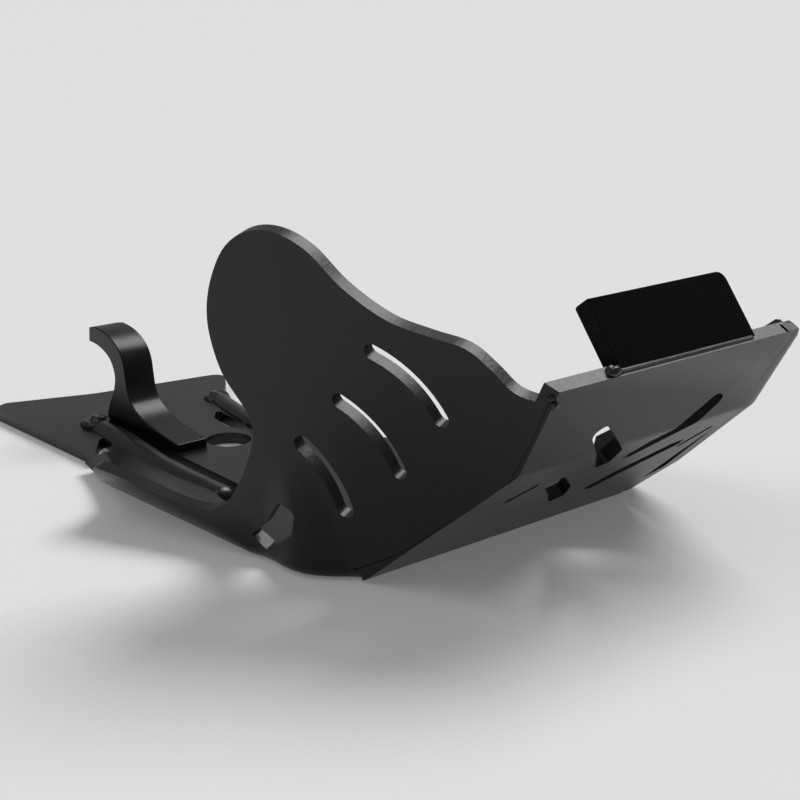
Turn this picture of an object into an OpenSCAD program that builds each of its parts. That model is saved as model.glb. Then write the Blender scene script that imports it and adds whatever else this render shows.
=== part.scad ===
// Off-road motorcycle skid plate, heat-bent from one thick plastic sheet and welded.
// X runs across the bike, the front of the bike is towards -Y, +Z is up.
// The underside of the flat belly is z = 0. The shapes are drawn with the lower front bend at
// y = 0, and the finished nodes are moved so that the middle of the drain hole is the origin.
// All lengths are millimetres, all angles are degrees.

/* [Sheet] */
// thickness of the plastic sheet
sheet_t = 8; // [6:0.5:10]
// inside radius of the two bends across the front
front_bend_r = 5; // [3:0.5:10]
// outside radius of the bend on the low far side
far_bend_r = 20; // [12:1:26]

/* [Front panel] */
// length of the lower front panel along its slope
lower_len = 132; // [110:1:150]
// slope of the lower front panel above level
lower_slope = 39.6; // [35:0.2:45]
// length of the upper front panel along its slope
upper_len = 57; // [45:1:70]
// slope of the upper front panel above level
upper_slope = 61.2; // [56:0.2:68]

/* [Side walls] */
// how far the side walls turn in towards the front, in plan
wall_yaw = 19.4; // [15:0.2:23]
// how far the side walls lean outwards from upright
wall_lean = 12.5; // [9:0.25:16]
// half the width of the belly at the lower front bend
belly_half = 115.2; // [105:0.5:125]
// how much further out the far side's bend stands
far_out = 2; // [0:0.5:6]
// middle of the front panel, measured across the bike
front_mid = 8; // [0:0.5:14]
// where the flared near bend starts, measured back from the lower front bend
flare_y = 59.4; // [50:0.5:70]
// outside bend radius gained per millimetre behind that start
flare_rate = 0.709; // [0.5:0.01:0.8]
// how far the front corner of the near bend is pulled outwards
corner_pull = 13; // [2:0.5:15]
// width of the joint line along the near wall's front edge
seam_w = 1; // [0.6:0.1:1.6]
// rear end of the low lip behind the near side wall, where it meets the notch in front of the ear
lip_end = 266; // [240:1:268]
// height of the lobe at the top of the near wall, along the wall
lobe_top = 204; // [190:1:215]
// how far the far bend swells out on the lower front panel
far_bulge = 12; // [0:0.5:14]
// width of the low lip on the far side
far_lip = 62; // [40:1:70]
// rear end of the far side wall
far_end = 48; // [35:1:60]

/* [Belly and tail] */
// rear end of the tail on the near side
tail_y = 425; // [405:1:440]
// near edge of the tail, measured across the bike
tail_near = 117; // [112:0.5:124]
// middle of the drain hole, across
drain_x = -29; // [-34:0.5:-27]
// middle of the drain hole, back from the lower front bend
drain_y = 240; // [236:1:246]
// diameter of the drain hole
drain_d = 32; // [26:0.5:34]

/* [Slots] */
// width of the upper and middle slots in the near wall
slot_w = 9; // [6:0.5:12]
// width of the lower slot in the near wall
low_slot_w = 11; // [7:0.5:13]

/* [Rear hook] */
// width of the hook across the bike
hook_w = 24; // [18:0.5:30]
// near face of the hook, measured across
hook_x = -72; // [-76:0.5:-68]
// height of the top of the hook above the belly's underside
hook_top = 77; // [70:0.5:86]

/* [Front pad] */
// width of the pad
pad_w = 110; // [90:1:130]
// height of the pad along its own slope
pad_len = 41; // [30:0.5:55]
// thickness of the pad
pad_t = 10; // [6:0.5:14]
// slope of the pad above level, leaning back
pad_slope = 53; // [45:1:65]
// distance of the pad's front face behind the front edge of the panel
pad_back = 2.4; // [1:0.2:4]

/* [Weld beads] */
// radius of the long beads beside the hook
bead_r = 10; // [7:0.5:12]
// radius of the bead inside the front seam
seam_r = 6; // [4:0.5:8]

/* [Hidden] */

$fn = 64;
black = [0.07, 0.07, 0.075];

// side view corners of the outer face: lower bend, middle bend, top edge
pc = [0, 0];
pb = [-lower_len * cos(lower_slope), lower_len * sin(lower_slope)];
pa = pb + upper_len * [-cos(upper_slope), sin(upper_slope)];
out_r = front_bend_r + sheet_t;

// the near wall's own axes: back along the wall, up the wall, inwards
nt = [-sin(wall_yaw), cos(wall_yaw), 0];
ns = [-sin(wall_lean) * cos(wall_yaw), -sin(wall_lean) * sin(wall_yaw), cos(wall_lean)];
nn = [cos(wall_lean) * cos(wall_yaw), cos(wall_lean) * sin(wall_yaw), sin(wall_lean)];
near_x = front_mid - belly_half;
far_x = front_mid + belly_half + far_out;
ky = nn[1] / nn[0];
kz = nn[2] / nn[0];
fm = [nn[0], -nn[1], -nn[2]];
turn = 90 - atan(kz);
// farther than anything drawn here
reach = 800;
// higher than the near wall
wall_top = 260;
// the flat panels end this far inside the far wall's outer face, and its bend takes over
far_flat = 18.5;
// front end of the slit beside the tongue, and of the ear of the tail behind it
slit_y = 138;
ear_y = 272;

function unit(v) = v / norm(v);
function arc(c, r, a0, a1, n) = [for (i = [0:n]) c + r * [cos(a0 + (a1 - a0) * i / n), sin(a0 + (a1 - a0) * i / n)]];

// a path with its corners rounded, each point given as [x, y, radius]
function corner(p, a, b, r, n) =
    r <= 0 ? [p] :
    let (u = unit(a - p), v = unit(b - p), h = acos(u * v) / 2, d = r / tan(h),
         c = p + unit(u + v) * r / sin(h),
         s = p + u * d - c, e = p + v * d - c,
         a0 = atan2(s[1], s[0]), da = atan2(s[0] * e[1] - s[1] * e[0], s * e))
    [for (i = [0:n]) c + r * [cos(a0 + da * i / n), sin(a0 + da * i / n)]];
function xy(q) = [q[0], q[1]];
function rounded(q, n = 6) = [for (i = [0:len(q) - 1])
    let (m = len(q)) each corner(xy(q[i]), xy(q[(i + m - 1) % m]), xy(q[(i + 1) % m]), q[i][2], n)];

// a smooth curve through the given points
function curve(q, n = 5) = [for (i = [0:len(q) - 2]) for (k = [0:n - (i == len(q) - 2 ? 0 : 1)])
    let (t = k / n, a = q[max(i - 1, 0)], b = q[i], c = q[i + 1], d = q[min(i + 2, len(q) - 1)])
    0.5 * (2 * b + (c - a) * t + (2 * a - 5 * b + 4 * c - d) * t * t + (3 * b - a - 3 * c + d) * t * t * t)];

// turns a side view (y, z) drawing into a solid running from x0 to x1
module side(x0, x1) {
    multmatrix([[0, 0, 1, x0], [1, 0, 0, 0], [0, 1, 0, 0], [0, 0, 0, 1]]) linear_extrude(x1 - x0) children();
}

// draws on the near wall, z counted inwards from its outer face
module near_frame() {
    multmatrix([[nt[0], ns[0], nn[0], near_x], [nt[1], ns[1], nn[1], 0], [nt[2], ns[2], nn[2], 0], [0, 0, 0, 1]])
        children();
}

// the space on the inner side of the far wall's outer face, moved in by d
module far_inside(d) {
    multmatrix([[-nt[0], -ns[0], -nn[0], far_x], [nt[1], ns[1], nn[1], 0], [nt[2], ns[2], nn[2], 0], [0, 0, 0, 1]])
        translate([-reach, -reach, d]) cube(2 * reach);
}

// a closed sheet from two matching rows of points per station
module skin(outer, inner) {
    ns_ = len(outer);
    np = len(outer[0]);
    pts = concat([for (s = outer) each s], [for (s = inner) each s]);
    m = ns_ * np;
    polyhedron(points = pts, convexity = 6, faces = concat(
        [for (i = [0:ns_ - 2]) for (j = [0:np - 2]) each [
            [i * np + j, i * np + j + 1, (i + 1) * np + j + 1], [i * np + j, (i + 1) * np + j + 1, (i + 1) * np + j],
            [m + i * np + j, m + (i + 1) * np + j + 1, m + i * np + j + 1],
            [m + i * np + j, m + (i + 1) * np + j, m + (i + 1) * np + j + 1]]],
        [for (i = [0:ns_ - 2]) each [
            [i * np, (i + 1) * np, m + (i + 1) * np], [i * np, m + (i + 1) * np, m + i * np],
            [i * np + np - 1, m + (i + 1) * np + np - 1, (i + 1) * np + np - 1],
            [i * np + np - 1, m + i * np + np - 1, m + (i + 1) * np + np - 1]]],
        [for (j = [0:np - 2]) each [
            [j, m + j, m + j + 1], [j, m + j + 1, j + 1],
            [(ns_ - 1) * np + j, m + (ns_ - 1) * np + j + 1, m + (ns_ - 1) * np + j],
            [(ns_ - 1) * np + j, (ns_ - 1) * np + j + 1, m + (ns_ - 1) * np + j + 1]]]));
}

// side view outline of belly and front panels, grown inwards from the outer face
function inner_corner(p, a0, a1) = let (h = (a0 + a1) / 2, k = sheet_t / cos((a1 - a0) / 2)) p + k * [sin(h), cos(h)];
ic = inner_corner(pc, 0, lower_slope);
ib = inner_corner(pb, lower_slope, upper_slope);
ia = pa + sheet_t * [sin(upper_slope), cos(upper_slope)];
module profile() {
    polygon(concat(
        [[tail_y + 20, 0]], corner(pc, [tail_y, 0], pb, out_r, 8), corner(pb, pc, pa, out_r, 5), [pa],
        [ia], corner(ib, ia, ic, front_bend_r, 5), corner(ic, ib, [tail_y, sheet_t], front_bend_r, 8),
        [[tail_y + 20, sheet_t]]));
}
// everything behind the outer face in side view
module behind() {
    polygon(concat([[tail_y + 20, 0]], corner(pc, [tail_y, 0], pb, out_r, 8), corner(pb, pc, pa, out_r, 5),
        [pa, pa + [-60, 110], [tail_y + 20, 400]]));
}

// near side bend: radius and start of the bend at distance y behind the lower bend
function flare_r(y) = max(sheet_t + 1, flare_rate * (y - flare_y));
function wall_trace(y) = near_x - ky * y;
function bend_x(y) = wall_trace(y) + flare_r(y) * tan(turn / 2);
kink_y = flare_y + (sheet_t + 1) / flare_rate;
// the corner in front of the flare is pulled outwards by this much, at distance y behind the lower bend
function pull(y) = y < 6 || y > kink_y ? 0 :
    y < 29 ? corner_pull * sin(90 * (y - 6) / 23) : corner_pull * (1 + cos(180 * (y - 29) / (kink_y - 29))) / 2;
function lean_at(y) = pull(y) > 0 ? min(pull(y) / (12 + 4.2 * pull(y)), 0.22) : 0;
function wall_row(y, k, steps = 14) =
    let (o = pull(y), a1 = atan(kz - lean_at(y)), tn = 90 - a1, r = flare_r(y), x = wall_trace(y) - o + r * tan(tn / 2),
         w = sheet_t / norm([nn[0], nn[2]]), h = max(o / max(lean_at(y), 0.01), 30),
         t1 = k == 0 ? 0 : w)
    concat([[bend_x(y) + 9, y, k == 0 ? 0 : sheet_t]],
        [for (i = [0:steps]) let (a = tn * i / steps, t = k == 0 ? 0 : sheet_t + (w - sheet_t) * i / steps)
            [x - (r - t) * sin(a), y, r - (r - t) * cos(a)]],
        [for (g = [r + h, r + h + 220]) [wall_trace(y) - kz * g + t1 / sin(turn), y, g]]);
module near_wall_raw() {
    st = [-150, 6, 10, 14, 18, 23, 29, 36, 44, 54, 64, kink_y, lip_end + 50];
    skin([for (y = st) wall_row(y, 1)], [for (y = st) wall_row(y, 0)]);
}

// outline of the near wall on its own face: top edge from the front, lobe, waist, low rear lip
top_edge = [[-128, 126.5], [-119, 129.3], [-103, 133], [-91, 144], [-78, 153.5], [-57, 157.7], [-35, 163.5], [-12, 178],
    [6, lobe_top - 8], [24, lobe_top], [42, lobe_top - 1.5], [58, lobe_top - 13], [71, 168], [75.8, 145], [72, 119],
    [61, 99], [57.8, 86], [62, 72], [71, 54], [84, 36], [98, 26.8], [122, 27], [157, 33.8], [176, 36], [187, 35.5],
    [193, 24], [198, 12], [207, 6], [226, -0.5], [246, -5.5], [262, -9], [300, -16]];
module wall_outline() {
    polygon(concat([[-170, 120]], curve(top_edge), [[300, -80], [-170, -80]]));
}
// plan outline that ends the near lip, with a notch left between it and the ear of the tail
module lip_plan() {
    polygon([[-tail_near - 200, lip_end - 2], [-tail_near - 3, lip_end - 2], [-tail_near + 8, lip_end],
        [-tail_near + 45, lip_end + 50], [60, lip_end + 50], [60, -300], [-tail_near - 200, -300]]);
}

// banana slot through three points of its middle line
module banana(a, m, b, w) {
    d = 2 * (a[0] * (m[1] - b[1]) + m[0] * (b[1] - a[1]) + b[0] * (a[1] - m[1]));
    c = [(a * a * (m[1] - b[1]) + m * m * (b[1] - a[1]) + b * b * (a[1] - m[1])) / d,
         (a * a * (b[0] - m[0]) + m * m * (a[0] - b[0]) + b * b * (m[0] - a[0])) / d];
    r = norm(a - c);
    a0 = atan2((a - c)[1], (a - c)[0]);
    da = atan2((a - c)[0] * (b - c)[1] - (a - c)[1] * (b - c)[0], (a - c) * (b - c));
    pa0 = a0 + da;
    s = sign(da);
    polygon(concat(arc(c, r + w / 2, a0, pa0, 12), arc(b, w / 2, pa0, pa0 + s * 180, 8),
        arc(c, r - w / 2, pa0, a0, 12), arc(a, w / 2, a0 + s * 180, a0 + s * 360, 8)));
}
module wall_holes() {
    banana([-25, 144.5], [-44.5, 132.8], [-60.5, 112], slot_w);
    banana([-1.5, 113], [-19.5, 99], [-32.5, 76.5], slot_w);
    banana([26, 82.5], [13.5, 68], [4.8, 46.5], low_slot_w);
    polygon(rounded([[46, 44.5, 3], [34.5, 41, 4], [37.5, 27, 10], [58.5, 9.5, 4], [72, 15.5, 2], [59.5, 26, 6]]));
}

// shallow joint line where the near wall meets the edge of the front panels
module seam_line() {
    q = [[-122, 133], [-110, 107], [-94.5, 78.5], [-77, 65], [-23, 22.7], [5, 7]];
    w = seam_w / 2;
    polygon(concat([for (p = q) p + [w, w * 0.9]], [for (i = [len(q) - 1:-1:0]) q[i] - [w, w * 0.9]]));
}

// far bend: rounded rows of points for one panel with outward normal nf at corner point p
function far_rows(p, nf, r, n = 8) =
    let (psi = acos(nf * fm), a = -unit(fm - (fm * nf) * nf), b = -unit(nf - (nf * fm) * fm),
         tau = far_bend_r * tan(psi / 2), c = p + tau * a - far_bend_r * nf)
    concat([p + (tau + 9) * a - (far_bend_r - r) * nf],
        [for (i = [0:n]) c + r * (sin((1 - i / n) * psi) * nf + sin(i / n * psi) * fm) / sin(psi)],
        [p + (tau + far_lip) * b - (far_bend_r - r) * fm]);
function far_at(q) = [far_x + ky * q[0] + kz * q[1], q[0], q[1]];
n0 = [0, 0, -1];
n1 = [0, -sin(lower_slope), -cos(lower_slope)];
n2 = [0, -sin(upper_slope), -cos(upper_slope)];
module far_wall() {
    ro = far_bend_r;
    ri = far_bend_r - sheet_t;
    pm = pb * 0.35;
    sets = [for (r = [ro, ri]) let (c = far_at(pc) + [far_bulge / 2, 0, 0], m = far_at(pm) + [far_bulge, 0, 0])
        [far_rows(far_at([far_end, 0]), n0, r), (far_rows(c, n0, r) + far_rows(c, n1, r)) / 2, far_rows(m, n1, r),
         (far_rows(far_at(pb), n1, r) + far_rows(far_at(pb), n2, r)) / 2, far_rows(far_at(pa), n2, r)]];
    outer = sets[0];
    inner = sets[1];
    intersection() {
        skin(inner, outer);
        side(0, 300) polygon(concat([[-200, -20], [-200, 100], [pa[0] - 10, pa[1] + 1]],
            corner([-113, 139], [pa[0] - 10, pa[1] + 1], [-60, 101], 10, 5), [[-60, 101], [0, 52], [60, 14], [60, -20]]));
    }
}

// plan outline of the belly and tail
module belly_plan() {
    polygon(concat(
        [[bend_x(0) + 2, 0], [bend_x(kink_y) + 2, kink_y], [bend_x(slit_y) + 2, slit_y]],
        [[-79, slit_y], [-74, 232], [-73, 292], [-84, 305], [-97, 299], [-tail_near, ear_y]],
        corner([-tail_near, tail_y - 6], [-tail_near, ear_y], [-104, tail_y], 5, 4),
        corner([-104, tail_y], [-tail_near, tail_y - 6], [-40, tail_y - 21], 4, 4),
        corner([-40, tail_y - 21], [-104, tail_y], [70, tail_y - 37], 60, 6),
        corner([70, tail_y - 37], [-40, tail_y - 21], [53, 361], 8, 5),
        [[53, 361], [33, 336], [23, 300]], corner([13, 258], [23, 300], [54, 176], 30, 6), [[54, 176], [104, 88]],
        [[far_x - far_flat / nn[0] + ky * far_end - 2, far_end], [far_x - far_flat / nn[0], 0]]));
}
module far_slot() {
    polygon(rounded([[6, 306, 2], [-7, 290, 3], [-12, 266, 3], [-5, 251, 3], [1, 264, 3]]));
}

// cut-outs of the front, drawn as x across and distance along the slope
module bend_hole() {
    polygon(rounded([[-37, 21, 6], [-47, 15.5, 4], [-33, -1, 6], [-5, -33, 4], [3, -29, 3], [-4, -10, 10], [-21, 6, 10]]));
}
module lower_hole() {
    polygon(rounded([[-40, 92, 3], [-39, 101, 3], [-29, 99, 5], [-2, 73, 14], [8, 55, 3], [0, 49, 4], [-22, 74, 16]]));
}
// trims the top far corner of the upper panel and the lip behind it, drawn like the cut-outs
module far_corner_trim() {
    polygon([[99, upper_len + 0.5], [103, 51.5], [108, 49], [112, 44], [118, 43], [121, 40], [123.5, 33], [126, 22],
        [200, 22], [200, 120], [99, 120]]);
}
module slit(a, b, w) {
    hull() { translate(a) circle(d = w, $fn = 20); translate(b) circle(d = w, $fn = 20); }
}
// x across, y up a slope a starting at side view point p; cuts straight through
module on_slope(p, a) {
    translate([0, p[0], p[1]]) multmatrix([[1, 0, 0, 0], [0, -cos(a), sin(a), 0], [0, sin(a), cos(a), 0], [0, 0, 0, 1]])
        translate([0, 0, -20]) linear_extrude(60) children();
}

module sheet_body() {
    difference() {
        union() {
            intersection() {
                side(-220, 220) profile();
                union() {
                    translate([0, 0, -5]) linear_extrude(sheet_t + 10) belly_plan();
                    translate([-220, -200, -5]) cube([440, 200, 200]);
                }
                far_inside(far_flat);
                near_frame() translate([-reach, -reach, 0]) cube(2 * reach);
            }
            intersection() {
                near_wall_raw();
                near_frame() translate([0, 0, -40]) linear_extrude(260) wall_outline();
                translate([0, 0, -1]) linear_extrude(wall_top) lip_plan();
                side(-400, 100) behind();
            }
            far_wall();
        }
        near_frame() translate([0, 0, -10]) linear_extrude(30) wall_holes();
        near_frame() translate([0, 0, -1]) linear_extrude(1.9) seam_line();
        translate([drain_x, drain_y, -1]) cylinder(h = sheet_t + 2, d = drain_d);
        translate([0, 0, -1]) linear_extrude(sheet_t + 2) far_slot();
        mid = (lower_slope + upper_slope) / 2;
        on_slope(pb, mid) bend_hole();
        on_slope(pb, mid) translate([2 * front_mid, 0]) mirror([1, 0]) bend_hole();
        on_slope(pc, lower_slope) lower_hole();
        on_slope(pc, lower_slope) translate([4 * front_mid, 0]) mirror([1, 0]) lower_hole();
        on_slope(pc, lower_slope) slit([-62, 86], [-53, 100], 5);
        on_slope(pc, lower_slope) slit([78, 89], [84, 109], 5);
        on_slope(pb, upper_slope) far_corner_trim();
    }
}

module hook_profile() {
    t = hook_top;
    polygon(concat([[238, sheet_t], [238, 13.5], [262, 17]],
        curve([[262, 17], [281, 21.5], [295, 28.5], [301, 38], [303, 48], [305, 58], [310, t - 11], [318, t - 5.5],
            [329, t - 1.5], [341, t]], 4),
        [[349.5, t - 1.5], [350.5, t - 12]],
        curve([[350.5, t - 12], [340, t - 12.8], [329.5, t - 16], [322, t - 21], [318, 49], [317.2, 43], [319.5, 35],
            [324, 28], [329, 17], [331, sheet_t]], 4)));
}
module hook_body() {
    side(hook_x, hook_x + hook_w) hook_profile();
}

function pad_foot() = pa + pad_back * [sin(upper_slope), cos(upper_slope)];
module pad_body() {
    d = [cos(pad_slope), sin(pad_slope)];
    n = [sin(pad_slope), -cos(pad_slope)];
    f = pad_foot();
    e = [sin(upper_slope), cos(upper_slope)];
    k = (sheet_t - pad_back - pad_t * (n * e)) / (d * e);
    intersection() {
        side(front_mid - pad_w / 2, front_mid + pad_w / 2)
            polygon([f, f + pad_len * d, f + pad_len * d + pad_t * n, f + pad_t * n + k * d, ia]);
        translate([front_mid, 0, 0]) multmatrix([[1, 0, 0, 0], [0, d[0], -n[0], f[0]], [0, d[1], -n[1], f[1]], [0, 0, 0, 1]])
            translate([0, 0, -pad_t - 20]) linear_extrude(pad_t + 30)
            polygon(rounded([[-pad_w / 2, -30, 0], [pad_w / 2, -30, 0], [pad_w / 2, pad_len, 6], [-pad_w / 2, pad_len, 2]]));
    }
}

// round rod through the given points with the given radii
module rod(q) {
    for (i = [0:len(q) - 2]) hull() {
        translate(xyz(q[i])) sphere(r = q[i][3], $fn = 20);
        translate(xyz(q[i + 1])) sphere(r = q[i + 1][3], $fn = 20);
    }
}
function xyz(q) = [q[0], q[1], q[2]];

module near_bead() {
    difference() {
        rod([[-80, 328, 7.5, bead_r - 1], [-87, 266, 3, bead_r], [-92, 212, 1.5, bead_r], [-91, 163, 2, bead_r - 1]]);
        translate([-200, 100, -20]) cube([200, 300, 20.5]);
        sheet_body();
        hook_body();
    }
}
module far_bead() {
    difference() {
        rod([[24, 332, 6, 8], [5, 253, 7, 7]]);
        translate([-60, 200, -20]) cube([160, 200, 20 + sheet_t]);
        sheet_body();
    }
}
function seam_at(q, d) = [near_x - ky * q[0] - kz * q[1] + (sheet_t + d) / nn[0], q[0], q[1], seam_r];
module seam_bead() {
    ou = [cos(upper_slope), -sin(upper_slope)];
    difference() {
        rod([seam_at(ic + [4, 6], 0), seam_at(ib + [2, 1], 0), seam_at(ia + [2, 0] + 16 * ou, 0)]);
        sheet_body();
        near_frame() translate([-reach, -reach, sheet_t - 0.01 - 2 * reach]) cube(2 * reach);
        translate([0, pa[0], pa[1]]) rotate([90 - upper_slope, 0, 0]) translate([-200, -60, 0]) cube([400, 120, 60]);
    }
}
module pad_bead() {
    f = pad_foot();
    difference() {
        hull() {
            translate([front_mid - pad_w / 2 - 4, f[0], f[1]]) sphere(r = 2.2, $fn = 16);
            translate([front_mid + pad_w / 2 - 2, f[0], f[1]]) sphere(r = 2.2, $fn = 16);
        }
        pad_body();
        sheet_body();
    }
}

// the finished nodes, moved so that the middle of the drain hole is the origin
module placed() {
    color(black) translate([-drain_x, -drain_y, 0]) children();
}
module skid_sheet() { placed() sheet_body(); }
module rear_hook() { placed() hook_body(); }
module front_pad() { placed() pad_body(); }
module near_weld() { placed() near_bead(); }
module far_weld() { placed() far_bead(); }
module seam_weld() { placed() seam_bead(); }
module pad_weld() { placed() pad_bead(); }

skid_sheet();
rear_hook();
front_pad();
near_weld();
far_weld();
seam_weld();
pad_weld();
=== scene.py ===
"""Dresses the skid plate: satin sheet with sawn edges, grainy pad, glossy weld beads, and the studio."""
import math

import bmesh
import bpy
from bpy.props import FloatProperty, FloatVectorProperty, IntProperty, PointerProperty
from mathutils import Matrix, Vector, noise
from mathutils.bvhtree import BVHTree


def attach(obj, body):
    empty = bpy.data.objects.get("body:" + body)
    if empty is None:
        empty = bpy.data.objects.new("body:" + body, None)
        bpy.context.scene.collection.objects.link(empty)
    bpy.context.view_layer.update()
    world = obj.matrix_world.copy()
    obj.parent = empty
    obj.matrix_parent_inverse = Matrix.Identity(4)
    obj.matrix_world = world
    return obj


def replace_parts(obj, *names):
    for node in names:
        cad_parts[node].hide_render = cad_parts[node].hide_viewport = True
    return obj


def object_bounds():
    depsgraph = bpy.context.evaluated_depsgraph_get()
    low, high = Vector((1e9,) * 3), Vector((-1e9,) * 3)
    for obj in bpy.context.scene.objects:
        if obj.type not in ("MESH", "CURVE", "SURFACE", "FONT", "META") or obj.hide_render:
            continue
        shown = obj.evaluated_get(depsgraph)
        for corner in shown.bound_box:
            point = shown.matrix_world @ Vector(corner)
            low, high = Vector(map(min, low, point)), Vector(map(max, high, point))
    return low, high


bl_info = {
    "name": "Skid plate dresser",
    "version": (1, 0, 0),
    "blender": (4, 5, 0),
    "location": "3D View > Sidebar > Skid plate",
    "description": "Gives the packed skid plate its surfaces, weld beads and studio",
    "category": "Object",
}

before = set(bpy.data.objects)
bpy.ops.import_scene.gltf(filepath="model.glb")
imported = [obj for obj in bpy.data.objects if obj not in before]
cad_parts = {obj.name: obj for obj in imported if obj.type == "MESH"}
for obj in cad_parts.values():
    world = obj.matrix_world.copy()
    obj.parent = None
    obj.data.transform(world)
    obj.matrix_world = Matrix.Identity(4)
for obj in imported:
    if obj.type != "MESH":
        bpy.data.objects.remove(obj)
CAD_LOW, CAD_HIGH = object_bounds()
MM = 0.001
BODY = "root"
UP = Vector((0.0, 0.0, 1.0))
# centre of the drain hole in the drawing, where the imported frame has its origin
DRAIN = Vector((-29.0, 240.0, 0.0))

# names of the values that are stored on the meshes for the materials
CUT_EDGE = "cut_edge"
SEAM_RUN = "seam_run"

# thickness of the stock that each piece is cut from, in millimetres
SHEET_T = 8.0
HOOK_T = 24.0
PAD_T = 10.0
# a face may be this many millimetres off the stock's thickness and still count as its rolled face
THICKNESS_SLACK = 2.2
# faces that meet at less than this many degrees run smoothly into each other
SMOOTH_BEND = 28.0
# edges sharper than this many degrees are broken
SHARP_EDGE = 34.0
# faces within this many degrees of each other are one flat face
FLAT_BEND = 0.6
# metres within which two points are merged, and how far behind a face its probe starts
SAME_POINT = 0.00002
# edges shorter than this many metres are taken out
NO_LENGTH = 0.00001
# where a face is probed: this share of the way from its middle to each corner
PROBE_SHARE = 0.6

# radius in millimetres of the widest weld bead, which the streaks are measured against
BEAD_R = 10.0
# a bead has its full thickness from this many radii behind its end
BLUNT = 0.8
# thinnest a bead gets at its very end, as the square of its share of the radius
END_SHARE = 0.004
# fine parts that each span of a bead's path is cut into
PATH_PARTS = 60
# height just above the sheet's underside, where a bead sunk in the sheet is cut flat
UNDERSIDE = 0.5
# how tightly the material's streaks are drawn out along a bead, for each millimetre
STREAK_RUN = 0.012

# each bead's path in the drawing, from its start: x, y, z and radius in millimetres
NEAR_PATH = ((-80.5, 329, 5, 8.2), (-83.5, 298, 4.6, 9.8), (-87, 266, 3, 10.2), (-92, 212, 1.5, 10),
             (-91, 151, 1, 9))
FAR_PATH = ((24, 331, 6.4, 6.6), (15, 295, 6.5, 7.4), (5, 251, 7, 6.8))
CORNER_PATH = ((-104.2, 6.9, 14, 6), (-95.5, -43, 52, 6), (-86.8, -93.4, 90.3, 6),
               (-88, -112.4, 123.9, 5.4))
PAD_PATH = ((-50, -126.7, 135.2, 1.7), (8, -126.8, 135.1, 1.6), (60, -126.8, 135.1, 1.6))
# drops of filler at the top of the corner bead: place, radius and seed
CORNER_DROPS = (((-92.6, -125.6, 126.6), 2.0, 2.0), ((-94.2, -124.6, 130.4), 1.6, 6.0))

# lamps: name, the setting that holds its strength, the way towards it, and its width in degrees
LAMPS = (
    ("light_top", "top", (0.60, 0.05, 0.80), 36.0),
    ("light_left", "left", (-0.65, 0.25, 0.72), 50.0),
    ("light_back", "back", (0.55, 0.72, 0.42), 40.0),
)
# where the camera stands in the drawing, in millimetres
CAMERA_PLACE = (-595.9, -589.6, 328.6)
# metres in front of the camera where its view begins
CLIP_START = 0.02
# metres that the floor lies under the part, so that their faces don't meet
FLOOR_GAP = 0.0002


def colour_property(name, description, default):
    """A linear colour without alpha, as the sidebar shows it."""
    return FloatVectorProperty(name=name, description=description, default=default, size=3,
                               subtype="COLOR", min=0.0, max=1.0)


def size_property(name, description, default):
    """A length in metres, which the sidebar shows in the scene's unit."""
    return FloatProperty(name=name, description=description, default=default, min=0.0,
                         precision=5, subtype="DISTANCE", unit="LENGTH")


def angle_property(name, description, degrees):
    """An angle, kept in radians and shown in degrees."""
    return FloatProperty(name=name, description=description, default=math.radians(degrees),
                         subtype="ANGLE", unit="ROTATION")


def strength_property(name, description, default):
    """The strength of a wide, far lamp, in watts per square metre."""
    return FloatProperty(name=name, description=description, default=default, min=0.0)


def share_property(name, description, default):
    """A share from 0 to 1."""
    return FloatProperty(name=name, description=description, default=default, min=0.0, max=1.0,
                         subtype="FACTOR")


class SheetLook(bpy.types.PropertyGroup):
    """The bent sheet and the milled hook."""
    face: colour_property("Face", "Rolled face of the black sheet", (0.0024, 0.0024, 0.0028))
    edge: colour_property("Sawn edge", "Paler colour where the sheet was cut", (0.006, 0.006, 0.0065))
    roughness: share_property("Roughness", "How matt the rolled face is", 0.34)
    edge_roughness: share_property("Edge roughness", "How matt the cut edge is", 0.36)
    edge_round: size_property("Edge rounding", "Width of the broken edge", 0.6 * MM)
    hook_face: colour_property("Hook face", "Milled face of the hook", (0.004, 0.004, 0.0045))
    hook_roughness: share_property("Hook roughness", "How matt the milled hook is", 0.3)
    hook_round: size_property("Hook rounding", "Width of the hook's broken edge", 0.8 * MM)


class PadLook(bpy.types.PropertyGroup):
    """The grainy pad on the front edge."""
    face: colour_property("Face", "Matt pad surface", (0.0016, 0.0016, 0.0019))
    rim: colour_property("Rim", "Rubbed rim of the pad", (0.02, 0.02, 0.021))
    roughness: share_property("Roughness", "How matt the pad is", 0.68)
    rounding: size_property("Rounding", "Width of the pad's broken edge", 1.2 * MM)


class BeadLook(bpy.types.PropertyGroup):
    """The extruded weld beads."""
    face: colour_property("Face", "Melted filler", (0.0055, 0.0055, 0.006))
    roughness: share_property("Roughness", "How matt the filler is", 0.24)
    sides: IntProperty(name="Sides", description="Points round one bead", default=40, min=8, max=96)
    step: size_property("Step", "Distance between rings along a bead", 0.8 * MM)
    ripple: size_property("Ripple", "Height of the streaks on the widest bead", 0.45 * MM)


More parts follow.
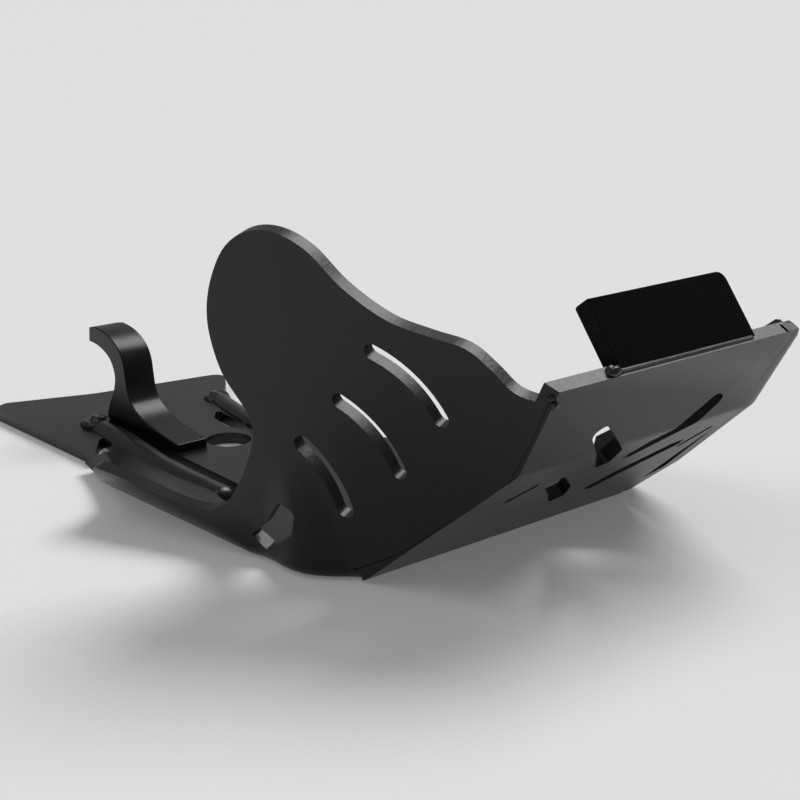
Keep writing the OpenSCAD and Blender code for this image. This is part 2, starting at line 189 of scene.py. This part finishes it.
class StudioLook(bpy.types.PropertyGroup):
    """Floor, lamps and camera."""
    floor: colour_property("Floor", "Pale studio floor", (0.85, 0.85, 0.86))
    reach: size_property("Floor reach", "Radius of the floor, far enough to hide its rim", 300.0)
    sky: colour_property("Surround", "Light that comes from all round", (0.2, 0.202, 0.208))
    top: strength_property("Top light", "Strength of the soft light above, at the right", 2.1)
    left: strength_property("Left light", "Strength of the soft fill at the left", 0.4)
    back: strength_property("Back light", "Strength of the soft light behind, at the right", 0.06)
    glow: share_property("Glow", "Share of plain white in the floor as the eye sees it", 0.12)
    azimuth: angle_property("Azimuth", "Bearing that the camera looks from", -41.19)
    elevation: angle_property("Elevation", "Angle of the camera above the floor", 16.31)
    lens: FloatProperty(name="Lens", description="Focal length", default=67.5, min=1.0, unit="CAMERA")


def looks():
    """The settings of this scene."""
    return bpy.context.scene.skid_looks


def at(x, y, z):
    """A point of the drawing in millimetres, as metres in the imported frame."""
    return (Vector((x, y, z)) - DRAIN) * MM


def new_piece(name, mesh_builder, material):
    """Turns a bmesh into a finished piece that rides on the part, with its place in its mesh."""
    mesh = bpy.data.meshes.new(name)
    mesh_builder.to_mesh(mesh)
    mesh_builder.free()
    piece = bpy.data.objects.new(name, mesh)
    bpy.context.scene.collection.objects.link(piece)
    piece.data.materials.append(material)
    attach(piece, BODY)
    return piece


class Tree:
    """Short helpers for one node tree. All but node and link give back the socket with the result."""

    def __init__(self, tree):
        self.tree = tree

    def node(self, kind, **settings):
        """A new node with its settings."""
        made = self.tree.nodes.new(kind)
        for key, value in settings.items():
            setattr(made, key, value)
        return made

    def link(self, source, target):
        """Joins an output to an input."""
        self.tree.links.new(source, target)

    def stored(self, name, output="Fac"):
        """A value that is stored on the mesh."""
        return self.node("ShaderNodeAttribute", attribute_name=name).outputs[output]

    def noise(self, vector, scale, detail=3.0):
        """Soft noise from 0 to 1."""
        made = self.node("ShaderNodeTexNoise")
        made.inputs["Scale"].default_value = scale
        made.inputs["Detail"].default_value = detail
        made.inputs["Roughness"].default_value = 0.5
        self.link(vector, made.inputs["Vector"])
        return made.outputs["Fac"]

    def mapped(self, vector, scale, turn=(0.0, 0.0, 0.0)):
        """Coordinates stretched by scale and turned, in degrees."""
        made = self.node("ShaderNodeMapping")
        made.inputs["Scale"].default_value = scale
        made.inputs["Rotation"].default_value = [math.radians(angle) for angle in turn]
        self.link(vector, made.inputs["Vector"])
        return made.outputs["Vector"]

    def span(self, value, low, high, new_low=0.0, new_high=1.0):
        """Takes low to high over to new_low to new_high, and stops there."""
        made = self.node("ShaderNodeMapRange")
        made.inputs["From Min"].default_value = low
        made.inputs["From Max"].default_value = high
        made.inputs["To Min"].default_value = new_low
        made.inputs["To Max"].default_value = new_high
        self.link(value, made.inputs["Value"])
        return made.outputs["Result"]

    def math(self, operation, a, b):
        """Sum, product or the like of two numbers or sockets."""
        made = self.node("ShaderNodeMath", operation=operation)
        for socket, value in zip(made.inputs, (a, b)):
            if isinstance(value, (int, float)):
                socket.default_value = value
            else:
                self.link(value, socket)
        return made.outputs[0]

    def mix(self, factor, a, b):
        """Mix of two colours or sockets."""
        made = self.node("ShaderNodeMix", data_type="RGBA")
        self.link(factor, made.inputs["Factor"])
        for key, value in (("A", a), ("B", b)):
            socket = next(s for s in made.inputs if s.name == key and s.type == "RGBA")
            if isinstance(value, bpy.types.NodeSocket):
                self.link(value, socket)
            else:
                socket.default_value = (*value, 1.0)
        return next(s for s in made.outputs if s.type == "RGBA")


def shade(colour, factor):
    """A colour made darker or lighter."""
    return [part * factor for part in colour]


def group(name, inputs, outputs):
    """An empty node group. inputs holds (name, kind, default or None), and outputs (name, kind)."""
    made = bpy.data.node_groups.new(name, "ShaderNodeTree")
    for label, kind, default in inputs:
        socket = made.interface.new_socket(label, in_out="INPUT", socket_type=kind)
        if default is not None:
            socket.default_value = default
    for label, kind in outputs:
        made.interface.new_socket(label, in_out="OUTPUT", socket_type=kind)
    tree = Tree(made)
    return made, tree, tree.node("NodeGroupInput"), tree.node("NodeGroupOutput")


def grain_group():
    """Fine grain, slow waves and cloudy gloss of rolled or moulded plastic."""
    found = bpy.data.node_groups.get("plastic_grain")
    if found:
        return found
    made, t, start, end = group(
        "plastic_grain",
        [("Vector", "NodeSocketVector", None), ("Grain", "NodeSocketFloat", 1.0),
         ("Wave", "NodeSocketFloat", 1.0)],
        [("Height", "NodeSocketFloat"), ("Cloud", "NodeSocketFloat")])
    vector = start.outputs["Vector"]
    grain = t.math("MULTIPLY", t.noise(vector, scale=1400.0, detail=2.0), start.outputs["Grain"])
    wave = t.math("MULTIPLY", t.noise(vector, scale=22.0, detail=2.0), start.outputs["Wave"])
    t.link(t.math("ADD", grain, wave), end.inputs["Height"])
    broad = t.noise(vector, scale=9.0, detail=5.0)
    small = t.math("MULTIPLY", t.noise(vector, scale=160.0, detail=4.0), 0.35)
    t.link(t.span(t.math("ADD", broad, small), 0.45, 0.95), end.inputs["Cloud"])
    return made


def scuff_group():
    """Hair-fine rub marks that run along and across the sheet, in patches."""
    found = bpy.data.node_groups.get("rub_marks")
    if found:
        return found
    made, t, start, end = group(
        "rub_marks", [("Vector", "NodeSocketVector", None), ("Amount", "NodeSocketFloat", 1.0)],
        [("Mask", "NodeSocketFloat")])
    vector = start.outputs["Vector"]
    marks = []
    for scale, turn in (((900.0, 14.0, 900.0), (8.0, 4.0, 20.0)),
                        ((16.0, 1100.0, 1100.0), (-12.0, 9.0, -55.0))):
        lines = t.noise(t.mapped(vector, scale, turn), scale=1.0, detail=2.0)
        marks.append(t.span(lines, 0.68, 0.8))
    either = t.math("MAXIMUM", *marks)
    patches = t.span(t.noise(vector, scale=14.0), 0.5, 0.7)
    patchy = t.math("MULTIPLY", either, patches)
    t.link(t.math("MULTIPLY", patchy, start.outputs["Amount"]), end.inputs["Mask"])
    return made


def new_material(name, specular):
    """A material with its own Principled shader. Gives it, its tree, the shader and its coordinates."""
    made = bpy.data.materials.new(name)
    made.use_nodes = True
    made.node_tree.nodes.clear()
    tree = Tree(made.node_tree)
    end = tree.node("ShaderNodeOutputMaterial")
    shader = tree.node("ShaderNodeBsdfPrincipled")
    shader.inputs["Specular IOR Level"].default_value = specular
    tree.link(shader.outputs["BSDF"], end.inputs["Surface"])
    place = tree.node("ShaderNodeTexCoord").outputs["Object"]
    return made, tree, shader, place


def add_group(tree, made, vector, **values):
    """Places a node group in a material, with its own values, and gives its outputs."""
    node = tree.node("ShaderNodeGroup", node_tree=made)
    tree.link(vector, node.inputs["Vector"])
    for key, value in values.items():
        node.inputs[key.capitalize()].default_value = value
    return node.outputs


def bump(tree, shader, height, distance, strength):
    """Gives a shader a bump; distance is in metres."""
    node = tree.node("ShaderNodeBump")
    node.inputs["Distance"].default_value = distance
    node.inputs["Strength"].default_value = strength
    tree.link(height, node.inputs["Height"])
    tree.link(node.outputs["Normal"], shader.inputs["Normal"])


def sheet_material():
    """Black rolled sheet: satin faces with faint rub marks, paler sawn edges with saw lines."""
    look = looks().sheet
    made, t, shader, place = new_material("satin_sheet", specular=0.36)
    cut = t.stored(CUT_EDGE)
    grain = add_group(t, grain_group(), place, grain=0.5, wave=1.0)
    rubs = add_group(t, scuff_group(), place, amount=0.8)["Mask"]
    face = t.mix(grain["Cloud"], shade(look.face, 0.9), shade(look.face, 1.2))
    face = t.mix(rubs, face, shade(look.face, 3.4))
    saw = t.noise(t.mapped(place, (420.0, 420.0, 420.0)), scale=1.0)
    edge = t.mix(t.span(saw, 0.3, 0.7), shade(look.edge, 0.7), shade(look.edge, 1.3))
    t.link(t.mix(cut, face, edge), shader.inputs["Base Color"])
    smooth = t.span(grain["Cloud"], 0.0, 1.0, look.roughness - 0.04, look.roughness + 0.05)
    smooth = t.math("ADD", smooth, t.math("MULTIPLY", rubs, 0.12))
    extra = t.math("MULTIPLY", cut, look.edge_roughness - look.roughness)
    t.link(t.math("ADD", smooth, extra), shader.inputs["Roughness"])
    lines = t.math("MULTIPLY", t.math("MULTIPLY", saw, cut), 4.0)
    bump(t, shader, t.math("ADD", grain["Height"], lines), distance=0.0001, strength=0.35)
    return made


def hook_material():
    """The hook's black faces: glossier than the sheet, with tool lines where it was milled."""
    look = looks().sheet
    made, t, shader, place = new_material("milled_hook", specular=0.32)
    grain = add_group(t, grain_group(), place, grain=0.4, wave=1.0)
    cut = t.stored(CUT_EDGE)
    milled = t.mix(grain["Cloud"], shade(look.hook_face, 0.8), shade(look.hook_face, 1.3))
    t.link(t.mix(cut, look.face, milled), shader.inputs["Base Color"])
    smooth = t.span(grain["Cloud"], 0.0, 1.0, look.hook_roughness - 0.05, look.hook_roughness + 0.07)
    t.link(smooth, shader.inputs["Roughness"])
    tool = t.noise(t.mapped(place, (30.0, 500.0, 500.0)), scale=1.0, detail=2.0)
    lines = t.math("MULTIPLY", t.math("MULTIPLY", tool, cut), 1.2)
    bump(t, shader, t.math("ADD", grain["Height"], lines), distance=0.0001, strength=0.25)
    return made


def pad_material():
    """Matt black pad with a pebbled surface and a rubbed rim."""
    look = looks().pad
    made, t, shader, place = new_material("matt_pad", specular=0.03)
    rim = t.stored(CUT_EDGE)
    grain = add_group(t, grain_group(), place, grain=3.0, wave=1.5)
    face = t.mix(grain["Cloud"], shade(look.face, 0.7), shade(look.face, 1.7))
    worn = t.span(t.noise(place, scale=90.0, detail=4.0), 0.35, 0.75, 0.35, 1.0)
    t.link(t.mix(t.math("MULTIPLY", rim, worn), face, look.rim), shader.inputs["Base Color"])
    smooth = t.span(grain["Cloud"], 0.0, 1.0, look.roughness - 0.06, look.roughness + 0.08)
    t.link(smooth, shader.inputs["Roughness"])
    bump(t, shader, grain["Height"], distance=0.0002, strength=0.5)
    return made


def bead_material():
    """Melted filler: glossy, with streaks that run along the bead."""
    look = looks().bead
    made, t, shader, place = new_material("melted_filler", specular=0.5)
    run = t.stored(SEAM_RUN, "Vector")
    grain = add_group(t, grain_group(), place, grain=0.3, wave=3.0)
    streaks = t.noise(t.mapped(run, (1.0, 6.0, 6.0)), scale=1.6)
    face = t.mix(grain["Cloud"], shade(look.face, 0.8), shade(look.face, 1.6))
    t.link(face, shader.inputs["Base Color"])
    t.link(t.span(streaks, 0.3, 0.75, look.roughness, look.roughness + 0.1), shader.inputs["Roughness"])
    height = t.math("ADD", t.math("MULTIPLY", streaks, 2.6), grain["Height"])
    bump(t, shader, height, distance=0.0002, strength=0.4)
    return made


def merged_copy(node):
    """A bmesh of a CAD node with its triangles joined and its flat faces made whole."""
    bm = bmesh.new()
    bm.from_mesh(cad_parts[node].data)
    bmesh.ops.remove_doubles(bm, verts=bm.verts, dist=SAME_POINT)
    bmesh.ops.dissolve_degenerate(bm, edges=bm.edges, dist=NO_LENGTH)
    bmesh.ops.dissolve_limit(bm, angle_limit=math.radians(FLAT_BEND), verts=bm.verts, edges=bm.edges,
                             use_dissolve_boundaries=False)
    return bm


def round_edges(bm, width):
    """Breaks each sharp edge between two faces."""
    sharp = [edge for edge in bm.edges
             if len(edge.link_faces) == 2 and edge.calc_face_angle(0.0) > math.radians(SHARP_EDGE)]
    bmesh.ops.bevel(bm, geom=sharp, offset=width, offset_type="OFFSET", segments=2, profile=0.5,
                    affect="EDGES", clamp_overlap=True, material=-1)


def smooth_patches(bm):
    """Gives the faces in patches that run smoothly into each other."""
    todo = set(bm.faces)
    while todo:
        patch = []
        front = [todo.pop()]
        while front:
            face = front.pop()
            patch.append(face)
            for edge in face.edges:
                if edge.calc_face_angle(math.pi) >= math.radians(SMOOTH_BEND):
                    continue
                for other in edge.link_faces:
                    if other in todo:
                        todo.discard(other)
                        front.append(other)
        yield patch


def depth_behind(patch, tree):
    """Thickness in millimetres behind a patch: the median over its area."""
    depths = []
    for face in patch:
        centre = face.calc_center_median()
        area = face.calc_area() / len(face.verts)
        for corner in face.verts:
            start = centre.lerp(corner.co, PROBE_SHARE) - face.normal * SAME_POINT
            distance = tree.ray_cast(start, -face.normal)[3]
            depths.append((distance / MM if distance is not None else 0.0, area))
    depths.sort()
    half = sum(area for _, area in depths) / 2
    seen = 0.0
    for depth, area in depths:
        seen += area
        if seen >= half:
            break
    return depth


def mark_cut_faces(bm, thickness):
    """Stores 1 on faces without the stock's thickness behind them: those are where it was cut."""
    tree = BVHTree.FromBMesh(bm)
    layer = bm.faces.layers.float.new(CUT_EDGE)
    for patch in smooth_patches(bm):
        rolled = abs(depth_behind(patch, tree) - thickness) < THICKNESS_SLACK
        for face in patch:
            face[layer] = 0.0 if rolled else 1.0


def dress(node, name, material, width, thickness):
    """Puts a CAD node's own form, with broken edges, in place of the node."""
    bm = merged_copy(node)
    mark_cut_faces(bm, thickness)
    round_edges(bm, width)
    for face in bm.faces:
        face.smooth = True
    piece = new_piece(name, bm, material)
    weighted = piece.modifiers.new("even shading", "WEIGHTED_NORMAL")
    weighted.weight = 100
    weighted.keep_sharp = True
    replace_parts(piece, node)


def smooth_path(points, step):
    """Samples of a smooth curve through (x, y, z, radius), each with its distance along the curve."""
    rows = [Vector(point) for point in points]
    rows = [rows[0] * 2 - rows[1]] + rows + [rows[-1] * 2 - rows[-2]]
    fine = []
    for a, b, c, d in zip(rows, rows[1:], rows[2:], rows[3:]):
        for part in range(PATH_PARTS):
            t = part / PATH_PARTS
            fine.append(0.5 * (2 * b + (c - a) * t + (2 * a - 5 * b + 4 * c - d) * t * t
                               + (3 * b - a - 3 * c + d) * t * t * t))
    fine.append(rows[-2].copy())
    picked = [(fine[0], 0.0)]
    run = 0.0
    for last, now in zip(fine, fine[1:]):
        run += (now.xyz - last.xyz).length
        if run - picked[-1][1] >= step:
            picked.append((now, run))
    return picked


def streak(angle, run, seed):
    """Height of the drawn-out streaks and slow waves of a bead, about -1 to 1."""
    c = math.cos(angle)
    s = math.sin(angle)
    fine = noise.noise(Vector((run * 0.01 + seed, c * 4.0, s * 4.0)))
    broad = noise.noise(Vector((run * 0.03 + seed, c * 1.5, s * 1.5 + 7.0)))
    wave = noise.noise(Vector((run * 0.09, c * 0.7 + seed, s * 0.7)))
    return 0.75 * fine + 0.8 * broad + 0.4 * wave


def end_radius(full, run, total):
    """Radius of a bead at a distance along it: full in the middle, and rounded off at both ends."""
    radius = full
    for from_end in (run, total - run):
        share = min(from_end / (radius * BLUNT), 1.0)
        radius = min(radius, full * math.sqrt(max(1 - (1 - share) ** 2, END_SHARE)))
    return radius


def next_ring(bm, turn_of):
    """Extrudes the ring of points in turn_of, and gives the new points with the same angles."""
    inside = [edge for edge in bm.edges if edge.verts[0] in turn_of and edge.verts[1] in turn_of]
    made = bmesh.ops.extrude_edge_only(bm, edges=inside)["geom"]
    fresh = {}
    for v in (item for item in made if isinstance(item, bmesh.types.BMVert)):
        mate = next(edge.other_vert(v) for edge in v.link_edges if edge.other_vert(v) in turn_of)
        fresh[v] = turn_of[mate]
    return fresh


def put_in_order(bm):
    """Sorts edges and faces by their points, because extruding gives them in another order each run."""
    bm.verts.index_update()
    for items in (bm.edges, bm.faces):
        ranked = sorted(items, key=lambda item: sorted(v.index for v in item.verts))
        rank = {item: number for number, item in enumerate(ranked)}
        items.sort(key=rank.get)


def bead_bmesh(points, floor_z, seed):
    """A melted bead along the points, trimmed flat at floor_z; all in millimetres of the drawing."""
    look = looks().bead
    rows = smooth_path(points, look.step / MM)
    total = rows[-1][1]
    ripple = look.ripple / MM / BEAD_R
    bm = bmesh.new()
    run_layer = bm.verts.layers.float_vector.new(SEAM_RUN)
    ring = bmesh.ops.create_circle(bm, cap_ends=False, radius=1.0, segments=look.sides)["verts"]
    turn_of = {v: math.atan2(v.co.y, v.co.x) for v in ring}
    for index, (row, run) in enumerate(rows):
        if index:
            turn_of = next_ring(bm, turn_of)
        before = rows[max(index - 1, 0)][0].xyz
        after = rows[min(index + 1, len(rows) - 1)][0].xyz
        along = (after - before).normalized()
        across = along.cross(UP).normalized()
        lift = across.cross(along)
        radius = end_radius(row.w, run, total)
        for v, angle in turn_of.items():
            reach = radius * (1 + ripple * streak(angle, run, seed))
            spot = row.xyz + (across * math.cos(angle) + lift * math.sin(angle)) * reach
            v.co = at(*spot)
            v[run_layer] = (run * STREAK_RUN, math.cos(angle), math.sin(angle))
    put_in_order(bm)
    bmesh.ops.holes_fill(bm, edges=[edge for edge in bm.edges if edge.is_boundary], sides=0)
    trim(bm, floor_z)
    bmesh.ops.recalc_face_normals(bm, faces=bm.faces)
    return bm


def trim(bm, floor_z):
    """Cuts away what lies below floor_z millimetres and closes the cut."""
    cut = bmesh.ops.bisect_plane(bm, geom=bm.verts[:] + bm.edges[:] + bm.faces[:], dist=1e-6,
                                 plane_co=(0.0, 0.0, floor_z * MM), plane_no=UP, clear_inner=True)
    rim = [item for item in cut["geom_cut"] if isinstance(item, bmesh.types.BMEdge)]
    bmesh.ops.holes_fill(bm, edges=rim, sides=0)


def blob_bmesh(centre, size, lean, seed, turns=0.0, ridge=0.0, floor_z=None):
    """A blob of filler: a lumpy ball, with a spiral ridge of so many turns on its upper half.

    centre and size are in millimetres, and lean is three angles in degrees.
    """
    bm = bmesh.new()
    run_layer = bm.verts.layers.float_vector.new(SEAM_RUN)
    bmesh.ops.create_uvsphere(bm, u_segments=72, v_segments=56, radius=1.0)
    for v in bm.verts:
        x, y, z = v.co
        reach = math.hypot(x, y)
        angle = math.atan2(y, x)
        curl = math.cos(angle + reach * turns * math.tau) * min(1.0, reach * 2.5)
        lump = noise.noise(Vector((x * 1.4 + seed, y * 1.4, z * 1.4)))
        grow = 1 + 0.12 * lump + (ridge * curl if z > 0 else 0.0)
        wide = 1 + 0.1 * lump + 0.3 * ridge * curl * reach
        v.co = Vector((x * size[0] * wide, y * size[1] * wide, z * size[2] * grow))
        v[run_layer] = (seed, 0.04 * math.cos(angle), 0.7 * reach)
    turn_x, turn_y, turn_z = (Matrix.Rotation(math.radians(angle), 4, axis)
                              for angle, axis in zip(lean, "XYZ"))
    place = Matrix.Translation(at(*centre)) @ turn_z @ turn_x @ turn_y
    bmesh.ops.transform(bm, matrix=place @ Matrix.Scale(MM, 4), verts=bm.verts)
    if floor_z is not None:
        trim(bm, floor_z)
    return bm


def curl_bmesh(centre, size, lean, seed, turns, floor_z=None):
    """The curled blob that a bead starts with."""
    return blob_bmesh(centre, size, lean, seed, turns=turns, ridge=0.15, floor_z=floor_z)


def drop_bmesh(centre, radius, seed):
    """A small drop of filler."""
    return blob_bmesh(centre, (radius * 1.2, radius, radius * 1.25), (20, 15, seed * 10), seed)


def joined(*parts):
    """One smooth bmesh out of several."""
    whole = parts[0]
    for part in parts[1:]:
        carrier = bpy.data.meshes.new("carrier")
        part.to_mesh(carrier)
        part.free()
        whole.from_mesh(carrier)
        bpy.data.meshes.remove(carrier)
    for face in whole.faces:
        face.smooth = True
    return whole


def near_bead():
    """The long bead beside the hook, with the curl it starts from on the tail."""
    body = bead_bmesh(NEAR_PATH, UNDERSIDE, seed=3.0)
    curl = curl_bmesh((-80.0, 328, 7.2), (11.2, 14, 7.8), (3, 0, 14), 1.0, turns=1.7, floor_z=UNDERSIDE)
    return joined(body, curl)


def far_bead():
    """The shorter bead on the far side of the hook, with its curl."""
    body = bead_bmesh(FAR_PATH, SHEET_T, seed=9.0)
    curl = curl_bmesh((24, 330, 7.6), (9.6, 11, 5.6), (3, 0, 18), 5.0, turns=1.6, floor_z=SHEET_T)
    return joined(body, curl)


def corner_bead():
    """The bead inside the corner of near wall and front panels, with two drops at its top."""
    body = bead_bmesh(CORNER_PATH, UNDERSIDE, seed=15.0)
    return joined(body, *[drop_bmesh(*drop) for drop in CORNER_DROPS])


def pad_bead():
    """The thin bead under the pad's front edge, with the curl at its near end."""
    body = bead_bmesh(PAD_PATH, UNDERSIDE, seed=21.0)
    return joined(body, curl_bmesh((-51.5, -125.6, 135.7), (5.8, 3.8, 3.4), (-28, 0, 10), 8.0, turns=1.4))


# each bead: the CAD node that it replaces, the piece's name, and the function that shapes it
BEADS = (
    ("near_weld", "near_bead", near_bead),
    ("far_weld", "far_bead", far_bead),
    ("seam_weld", "corner_bead", corner_bead),
    ("pad_weld", "pad_bead", pad_bead),
)


def soft_light(name, towards, width, strength):
    """One wide soft light, far off in the direction towards, so that the whole floor is lit alike."""
    lamp = bpy.data.lights.new(name, "SUN")
    lamp.angle = math.radians(width)
    lamp.energy = strength
    holder = bpy.data.objects.new(name, lamp)
    holder.rotation_euler = (-Vector(towards)).to_track_quat("-Z", "Y").to_euler()
    bpy.context.scene.collection.objects.link(holder)


def floor_material():
    """Pale matt floor; the eye and mirror reflections see some plain white in it besides the shadow."""
    look = looks().studio
    made, t, shader, _ = new_material("pale_floor", specular=0.1)
    shader.inputs["Base Color"].default_value = (*look.floor, 1.0)
    shader.inputs["Roughness"].default_value = 0.9
    path = t.node("ShaderNodeLightPath").outputs
    seen = t.math("MAXIMUM", path["Is Camera Ray"], path["Is Glossy Ray"])
    seen = t.math("MAXIMUM", seen, path["Is Transmission Ray"])
    white = t.node("ShaderNodeEmission")
    white.inputs["Strength"].default_value = 1.0
    both = t.node("ShaderNodeMixShader")
    t.link(t.math("MULTIPLY", seen, look.glow), both.inputs["Fac"])
    t.link(shader.outputs["BSDF"], both.inputs[1])
    t.link(white.outputs["Emission"], both.inputs[2])
    end = next(node for node in made.node_tree.nodes if node.type == "OUTPUT_MATERIAL")
    t.link(both.outputs["Shader"], end.inputs["Surface"])
    return made


def make_floor():
    """A wide disc just under the part."""
    middle = (CAD_LOW + CAD_HIGH) / 2
    bm = bmesh.new()
    bmesh.ops.create_circle(bm, cap_ends=True, radius=looks().studio.reach, segments=96)
    mesh = bpy.data.meshes.new("studio_floor")
    bm.to_mesh(mesh)
    bm.free()
    floor = bpy.data.objects.new("studio_floor", mesh)
    floor.location = (middle.x, middle.y, CAD_LOW.z - FLOOR_GAP)
    bpy.context.scene.collection.objects.link(floor)
    floor.data.materials.append(floor_material())


def make_surround():
    """The even light from all round."""
    world = bpy.data.worlds.new("surround")
    world.use_nodes = True
    world.node_tree.nodes["Background"].inputs["Color"].default_value = (*looks().studio.sky, 1.0)
    bpy.context.scene.world = world


def make_camera():
    """The camera at its place, looking down along its bearing."""
    look = looks().studio
    turn = look.azimuth
    lift = look.elevation
    back = Vector((math.sin(turn) * math.cos(lift), -math.cos(turn) * math.cos(lift), math.sin(lift)))
    camera = bpy.data.cameras.new("studio_camera")
    camera.lens = look.lens
    camera.clip_start = CLIP_START
    camera.clip_end = 2 * look.reach
    holder = bpy.data.objects.new("studio_camera", camera)
    holder.location = at(*CAMERA_PLACE)
    holder.rotation_mode = "QUATERNION"
    holder.rotation_quaternion = (-back).to_track_quat("-Z", "Y")
    bpy.context.scene.collection.objects.link(holder)
    bpy.context.scene.camera = holder


class SKID_OT_sheet(bpy.types.Operator):
    """Gives the bent sheet broken edges and its satin finish"""
    bl_idname = "skid.sheet"
    bl_label = "Bent sheet"

    def execute(self, context):
        width = looks().sheet.edge_round
        dress("skid_sheet", "bent_sheet", sheet_material(), width, SHEET_T)
        return {"FINISHED"}


class SKID_OT_hook(bpy.types.Operator):
    """Gives the rear hook its broken edges and finish"""
    bl_idname = "skid.hook"
    bl_label = "Rear hook"

    def execute(self, context):
        width = looks().sheet.hook_round
        dress("rear_hook", "tail_hook", hook_material(), width, HOOK_T)
        return {"FINISHED"}


class SKID_OT_pad(bpy.types.Operator):
    """Gives the front pad its rounded rim and grain"""
    bl_idname = "skid.pad"
    bl_label = "Front pad"

    def execute(self, context):
        width = looks().pad.rounding
        dress("front_pad", "grainy_pad", pad_material(), width, PAD_T)
        return {"FINISHED"}


class SKID_OT_beads(bpy.types.Operator):
    """Shapes the weld beads and gives them their glossy finish"""
    bl_idname = "skid.beads"
    bl_label = "Weld beads"

    def execute(self, context):
        filler = bead_material()
        for node, name, build in BEADS:
            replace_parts(new_piece(name, build(), filler), node)
        return {"FINISHED"}


class SKID_OT_stage(bpy.types.Operator):
    """Makes the pale floor, the lamps, the surround and the camera"""
    bl_idname = "skid.stage"
    bl_label = "Studio"

    def execute(self, context):
        make_floor()
        for name, setting, towards, width in LAMPS:
            soft_light(name, towards, width, getattr(looks().studio, setting))
        make_surround()
        context.scene.view_settings.view_transform = "Standard"
        make_camera()
        return {"FINISHED"}


class SkidLooks(bpy.types.PropertyGroup):
    """All settings of the dresser"""
    sheet: PointerProperty(type=SheetLook)
    pad: PointerProperty(type=PadLook)
    bead: PointerProperty(type=BeadLook)
    studio: PointerProperty(type=StudioLook)


STEPS = (SKID_OT_sheet, SKID_OT_hook, SKID_OT_pad, SKID_OT_beads, SKID_OT_stage)


class SKID_PT_panel(bpy.types.Panel):
    """Lists the pieces in the order they are made, and their settings"""
    bl_idname = "SKID_PT_panel"
    bl_label = "Skid plate"
    bl_space_type = "VIEW_3D"
    bl_region_type = "UI"
    bl_category = "Skid plate"

    def draw(self, context):
        for step in STEPS:
            self.layout.operator(step.bl_idname)
        for heading in ("sheet", "pad", "bead", "studio"):
            box = self.layout.box()
            box.label(text=heading)
            settings = getattr(looks(), heading)
            for key in settings.bl_rna.properties.keys():
                if key not in ("rna_type", "name"):
                    box.prop(settings, key)


CLASSES = (SheetLook, PadLook, BeadLook, StudioLook, SkidLooks, *STEPS, SKID_PT_panel)


def register():
    """Makes the settings, operators and panel known."""
    for item in CLASSES:
        bpy.utils.register_class(item)
    bpy.types.Scene.skid_looks = PointerProperty(type=SkidLooks)


def unregister():
    """Takes them away again."""
    del bpy.types.Scene.skid_looks
    for item in reversed(CLASSES):
        bpy.utils.unregister_class(item)


def main():
    """Makes every piece in order."""
    register()
    bpy.ops.skid.sheet()
    bpy.ops.skid.hook()
    bpy.ops.skid.pad()
    bpy.ops.skid.beads()
    bpy.ops.skid.stage()


if __name__ == "__main__":
    main()
